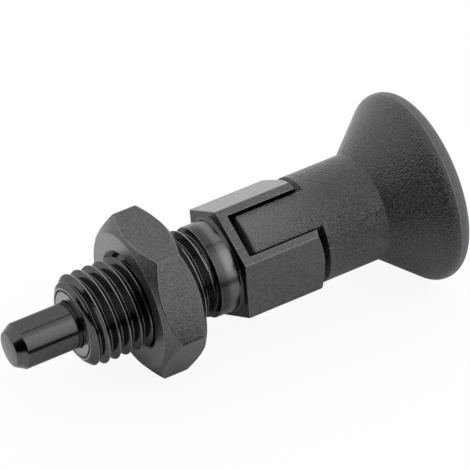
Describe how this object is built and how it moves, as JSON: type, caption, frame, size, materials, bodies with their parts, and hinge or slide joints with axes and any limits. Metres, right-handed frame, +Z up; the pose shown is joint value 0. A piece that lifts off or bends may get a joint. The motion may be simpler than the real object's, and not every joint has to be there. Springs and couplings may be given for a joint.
{
  "type": "indexing plunger",
  "caption": "Spring-loaded indexing plunger: a pin slides in a threaded guide sleeve with a hexagon, held back by a quarter turn of its mushroom grip; a locknut sets its depth.",
  "frame": {"origin": "centre of the bounding box in plan, on the surface that the plunger lies on", "axes": "+X along the plunger as it lies, from the pin to the grip; +Z up; the slotted face of the hexagon leans from +Z towards -Y"},
  "size_m": [0.06, 0.025, 0.0249],
  "materials": {
    "sleeve_steel": "blackened, turned and milled, semi-gloss",
    "nut_steel": "blackened, satin",
    "pin_steel": "hardened, ground and blackened",
    "spring_steel": "bright spring wire",
    "bush_steel": "plain turned",
    "grip_plastic": "moulded, fine-grained, matt black"
  },
  "bodies": {
    "sleeve": {"guide_sleeve": "sleeve_steel", "compression_spring": "spring_steel", "retaining_bush": "bush_steel"},
    "plunger": {"indexing_pin": "pin_steel", "mushroom_grip": "grip_plastic"},
    "locknut": {"locknut": "nut_steel"}
  },
  "joints": [
    {"name": "pull", "type": "slide", "parent": "sleeve", "child": "plunger", "axis": [0.9972, 0, 0.0749], "range_m": [0, 0.0095], "stiffness_N_per_m": 1250, "springref_m": -0.005, "deforming": ["compression_spring"]},
    {"name": "locknut_travel", "type": "slide", "parent": "sleeve", "child": "locknut", "axis": [0.9972, 0, 0.0749], "range_m": [-0.0075, 0.003]}
  ]
}
